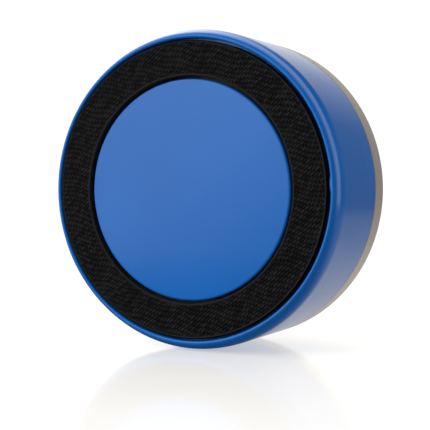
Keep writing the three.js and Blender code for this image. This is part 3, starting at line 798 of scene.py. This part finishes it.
def make_flap(materials):
    port = math.degrees(PORT_TURN)
    end = turn_at(8 * MM)
    back, front = PORT_LEVEL - FLAP_HALF, PORT_LEVEL + FLAP_HALF
    face = wedge(RADIUS - 1 * MM, RADIUS, back, front, port, 2 * end, 1 * MM, 9)
    plug = rod(PORT_TURN, stadium(11.8 * MM, 6 * MM), 40.2 * MM, 42.2 * MM, 0, PORT_LEVEL)
    grips = [wedge(RADIUS - 0.5 * MM, RADIUS + 0.38 * MM, back + 2 * MM, front - 2 * MM,
                   port + end - away, 0.62, 0, 3) for away in (0.5, 1.6, 2.7)]
    data = joined("flap", [face, plug] + grips)
    show("flap_cover", data, materials, "soft_black", "flap", "port_flap")
    first, last = turn_at(8.9 * MM), turn_at(11.5 * MM)
    patch = wedge(RADIUS - 1 * MM, RADIUS, back + 1 * MM, front - 1 * MM,
                  port - (first + last) / 2, last - first, 0.35 * MM, 4)
    pin = rod(PORT_TURN, stadium(2 * MM, 2 * MM), 39.9 * MM, 42.2 * MM, -10.2 * MM, PORT_LEVEL)
    show("flap_root", joined("flap_root", [patch, pin]), materials, "soft_black", "speaker", "flap_anchor")


def make_light_pipe(materials):
    bead = rod(LED_TURN, stadium(2 * MM, 2 * MM, 12), 37 * MM, RADIUS - 0.05 * MM, 0, PORT_LEVEL)
    show("light_bead", bead, materials, "light_pipe", "speaker", "light_pipe")


# ---- back and wall mount -----------------------------------------------------------------------------

def make_cover(materials):
    edge = 0.4 * MM
    back, front = COVER_BACK, COVER_BACK + WALL
    outline = [(9.5 * MM, back)]
    for groove, shoulder, width, depth in ((17 * MM, 0.3 * MM, 1.4 * MM, 0.35 * MM),
                                           (31 * MM, 0.2 * MM, 1.1 * MM, 0.3 * MM)):
        outline += [(groove, back), (groove + shoulder, back + depth)]
        outline += [(groove + width - shoulder, back + depth), (groove + width, back)]
    outline += arc(COVER_R - edge, back + edge, edge, -90, 0, 5)
    outline += [(COVER_R, front), (15.6 * MM, front), (15.6 * MM, 19.2 * MM), (0, 19.2 * MM)]
    outline += [(0, 17.9 * MM), (14.2 * MM, 17.9 * MM), (14.2 * MM, front), (9.5 * MM, front)]
    plate = turned_mesh("plate", outline, 180)
    notches = [wedge(8 * MM, 13.6 * MM, 12 * MM, 16 * MM, turn - 50, 44, 0, 12) for turn in (0, 120, 240)]
    sinks = [peg(turn, BOSS_R, 2.8 * MM, 12 * MM, back + 0.9 * MM) for turn in BOSS_TURNS]
    holes = [peg(turn, BOSS_R, 1.4 * MM, 12 * MM, 16 * MM) for turn in BOSS_TURNS]
    posts = [peg(math.atan2(y, x), math.hypot(x, y) * MM, 2.2 * MM, front - 0.2 * MM, 21.5 * MM)
             for x, y in ((24.2, 14), (-24.2, 14), (0, -25))]
    data = joined("cover_plate", [combined(plate, notches + sinks + holes)] + posts)
    show("cover_plate", data, materials, "black_plastic", "speaker", "back_cover")


def make_screws(materials):
    for i, turn in enumerate(BOSS_TURNS):
        head = peg(turn, BOSS_R, 2.3 * MM, 13.05 * MM, 14.1 * MM)
        slots = [prism(*([beside(turn, BOSS_R + a, b, level) for a, b in bar_points(x, y)]
                         for level in (12 * MM, 13.6 * MM))) for x, y in ((1.5, 0.3), (0.3, 1.5))]
        shank = peg(turn, BOSS_R, 1.1 * MM, 13.9 * MM, 25 * MM, 16)
        threads = [peg(turn, BOSS_R, 1.32 * MM, (16 + 0.9 * k) * MM, (16.3 + 0.9 * k) * MM, 16)
                   for k in range(9)]
        data = joined("screw", [combined(head, slots), shank] + threads)
        show(f"screw_{i + 1}", data, materials, "zinc", "speaker", f"cover_screw_{i + 1}")


def bar_points(x, y):
    return [(-x * MM, -y * MM), (x * MM, -y * MM), (x * MM, y * MM), (-x * MM, y * MM)]


def make_hub(materials):
    shoulder = CUP_TOP + 0.3 * MM
    edge = 0.35 * MM
    outline = [(0, 6.3 * MM), (7.2 * MM, 6.3 * MM), (7.2 * MM, shoulder), (15 * MM - edge, shoulder)]
    outline += arc(15 * MM - edge, shoulder + edge, edge, -90, 0, 4)
    outline += arc(15 * MM - edge, 10.8 * MM - edge, edge, 0, 80, 4)
    outline += [(11.2 * MM, 11.5 * MM), (11 * MM, 11.8 * MM), (11 * MM, 13.2 * MM), (9 * MM, 13.2 * MM)]
    outline += arc(9 * MM - edge, 17.4 * MM - edge, edge, 0, 90, 4) + [(0, 17.4 * MM)]
    body = turned_mesh("hub", outline, 120, closed=False)
    grips = [wedge(14.2 * MM, 15.7 * MM, 9.5 * MM, 10.7 * MM, 30 * k, 8, 0.5 * MM, 2) for k in range(12)]
    lugs = [wedge(8.5 * MM, 13.2 * MM, 15.6 * MM, 17.2 * MM, turn, 40, 0.6 * MM, 8) for turn in (0, 120, 240)]
    data = joined("hub_body", [body] + grips + lugs)
    show("hub_body", data, materials, "black_plastic", "cup_lock", "cup_hub")


def make_cup(materials):
    hollow, lip, steps = 3.6 * MM, 3.4 * MM, 20
    edge = 0.35 * MM
    outline = [((CUP_R - lip) * i / steps, hollow * (1 - (i / steps) ** 3)) for i in range(steps + 1)]
    for groove in (28.4 * MM, 29.4 * MM):
        outline += [(groove, 0), (groove + 0.1 * MM, 0.25 * MM)]
        outline += [(groove + 0.4 * MM, 0.25 * MM), (groove + 0.5 * MM, 0)]
    outline += arc(CUP_R - edge, edge, edge, -90, 60, 5)
    neck = 13 * MM
    for i in range(1, steps + 1):
        share = i / steps
        rise = math.sin(share * math.pi / 2) ** 1.4
        bead = 0.12 * MM if i in (3, 6) else 0
        height = 0.65 * MM + (CUP_TOP - 1.35 * MM) * rise + bead
        outline.append((CUP_R - edge - (CUP_R - edge - neck) * share, height))
    outline += [(12.6 * MM, CUP_TOP), (7.5 * MM, CUP_TOP), (7.5 * MM, 4.7 * MM), (0, 4.7 * MM)]
    data = turned_mesh("cup_skirt", outline, 144, closed=False)
    piece = show("cup_skirt", data, materials, "clear_silicone", "wall_cup", "suction_cup")
    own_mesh(piece)


# ---- stage -------------------------------------------------------------------------------------------

def flat_rectangle(name, centre, right, up, width, height):
    data = bpy.data.meshes.new(name)
    right, up = Vector(right).normalized() * width / 2, Vector(up).normalized() * height / 2
    centre = Vector(centre)
    data.from_pydata([centre - right - up, centre + right - up, centre + right + up, centre - right + up], [],
                     [(0, 1, 2, 3)])
    piece = bpy.data.objects.new(name, data)
    bpy.context.collection.objects.link(piece)
    return piece


def table_in_view(nodes, near, distance):
    """The table as the camera sees it, which fades into the white background away from the foot."""
    far = nodes.add("ShaderNodeEmission")
    far.inputs["Strength"].default_value = WHITE
    return nodes.mix(nodes.spread(distance, 0.11, 0.24, 0, 1), near, far.outputs[0])


def table_in_light(nodes, place, distance, glossy):
    """What the table gives other surfaces: a patch behind the foot in reflections, else the studio's fill."""
    split = nodes.add("ShaderNodeSeparateXYZ")
    nodes.link(place, split.inputs[0])
    behind = nodes.spread(split.outputs["Y"], -0.045, -0.015, 0.02, 0.9)
    mirrored = nodes.math("MULTIPLY", behind, nodes.spread(distance, 0.03, 0.13, 0.72, 0.38))
    extra = nodes.math("MULTIPLY", glossy, nodes.math("SUBTRACT", mirrored, FILL))
    lit = nodes.add("ShaderNodeEmission")
    nodes.link(nodes.math("ADD", extra, FILL), lit.inputs["Strength"])
    clear = nodes.add("ShaderNodeBsdfTransparent")
    beyond = nodes.math("MULTIPLY", glossy, nodes.spread(distance, 0.15, 0.42, 0, 1))
    return nodes.mix(beyond, lit.outputs[0], clear.outputs[0])


def make_floor():
    """A white glossy table under the object."""
    floor = flat_rectangle("floor", (0, 0, -RADIUS - 0.1 * MM), (1, 0, 0), (0, 1, 0), 12, 12)
    material, nodes, inputs, place = shader(
        "white_floor", Base_Color=(0.585, 0.56, 0.51), Specular_IOR_Level=0.42, Roughness=0.12,
        Emission_Color=(1.0, 1.0, 1.0), Emission_Strength=0.42)
    near = nodes.tree.nodes["Principled BSDF"].outputs[0]
    length = nodes.add("ShaderNodeVectorMath", operation="LENGTH")
    nodes.link(place, length.inputs[0])
    distance = length.outputs["Value"]
    path = nodes.add("ShaderNodeLightPath")
    given = table_in_light(nodes, place, distance, path.outputs["Is Glossy Ray"])
    seen = nodes.mix(path.outputs["Is Camera Ray"], given, table_in_view(nodes, near, distance))
    nodes.link(seen, nodes.tree.nodes["Material Output"].inputs["Surface"])
    floor.data.materials.append(material)


def area_light(name, place, target, width, height, power):
    data = bpy.data.lights.new(name, "AREA")
    data.shape = "RECTANGLE"
    data.size, data.size_y = width, height
    data.energy = power
    light = bpy.data.objects.new(name, data)
    light.location = place
    light.rotation_euler = (Vector(target) - Vector(place)).to_track_quat("-Z", "Y").to_euler()
    bpy.context.collection.objects.link(light)
    return light


def toward(azimuth, elevation):
    """A direction from degrees right of the front and degrees up."""
    turn, rise = math.radians(azimuth), math.radians(elevation)
    return (math.sin(turn) * math.cos(rise), -math.cos(turn) * math.cos(rise), math.sin(rise))


def cosine(degrees):
    return math.cos(math.radians(degrees))


def aligned(nodes, direction, azimuth, elevation):
    """The cosine of the angle between a direction and a fixed one."""
    along = nodes.add("ShaderNodeVectorMath", operation="DOT_PRODUCT")
    nodes.link(direction, along.inputs[0])
    along.inputs[1].default_value = toward(azimuth, elevation)
    return along.outputs["Value"]


def hoop(nodes, direction):
    """The hoop's strength in a direction. It stops at the table."""
    azimuth, elevation, start, full, fade, end, strength = HOOP
    along = aligned(nodes, direction, azimuth, elevation)
    inner = nodes.spread(along, cosine(full), cosine(start), 1, 0)
    outer = nodes.spread(along, cosine(end), cosine(fade), 0, 1)
    height = nodes.add("ShaderNodeSeparateXYZ")
    nodes.link(direction, height.inputs[0])
    above = nodes.spread(height.outputs["Z"], -0.2, -0.1, 0, strength)
    return nodes.math("MULTIPLY", nodes.math("MULTIPLY", inner, outer), above)


def make_world():
    """White to the camera, graded panels and a hoop in reflections, and an even fill for everything else."""
    world = bpy.data.worlds.new("studio")
    bpy.context.scene.world = world
    world.use_nodes = True
    nodes = Nodes(world.node_tree)
    path = nodes.add("ShaderNodeLightPath")
    direction = nodes.add("ShaderNodeTexCoord").outputs["Generated"]
    mirrored = REFLECTED
    for azimuth, elevation, inner, outer, strength in PANELS:
        along = aligned(nodes, direction, azimuth, elevation)
        edge = nodes.spread(along, cosine(outer), cosine(inner), 0, strength)
        mirrored = nodes.math("ADD", edge, mirrored)
    mirrored = nodes.math("ADD", hoop(nodes, direction), mirrored)
    seen = nodes.math("MULTIPLY", path.outputs["Is Camera Ray"], WHITE - FILL)
    reflected = nodes.math("MULTIPLY", path.outputs["Is Glossy Ray"], nodes.math("SUBTRACT", mirrored, FILL))
    background = nodes.add("ShaderNodeBackground")
    background.inputs["Color"].default_value = (1, 1, 1, 1)
    strength = nodes.math("ADD", nodes.math("ADD", seen, reflected), FILL)
    nodes.link(strength, background.inputs["Strength"])
    nodes.link(background.outputs[0], nodes.add("ShaderNodeOutputWorld").inputs["Surface"])


def make_light():
    overhead = area_light("overhead", (0.0, 0.3, 0.9), (0, 0, 0), 1.1, 1.1, 4)
    front = area_light("front_left", (-0.75, -0.95, 0.46), (0, 0, 0.04), 0.8, 0.8, 14.5)
    left = area_light("left", (-1.1, -0.2, 0.35), (0, 0, 0.05), 0.5, 0.7, 6)
    right = area_light("right", (1.1, 0.45, 0.3), (0, 0, 0.0), 0.6, 0.6, 4.4)
    for light in (overhead, front, left, right):
        light.visible_glossy = False
    make_world()
    bpy.context.scene.view_settings.view_transform = "Standard"


# ---- everything --------------------------------------------------------------------------------------

def dress_cad_nodes(materials):
    """Each CAD node that is still shown gets its slot's procedural material."""
    slot_of = {row["node"]: row["material_slot"] for row in frame["record"]["subparts"]}
    for node, piece in frame["nodes"].items():
        for slot in piece.material_slots:
            slot.material = materials[slot_of[node]]


make_camera()
MATERIALS = make_materials()
dress_cad_nodes(MATERIALS)
make_casing(MATERIALS)
make_band(MATERIALS)
make_disc(MATERIALS)
make_cloth(MATERIALS)
make_keys(MATERIALS)
make_bezel(MATERIALS)
make_flap(MATERIALS)
make_light_pipe(MATERIALS)
make_cover(MATERIALS)
make_screws(MATERIALS)
make_hub(MATERIALS)
make_cup(MATERIALS)
make_floor()
make_light()
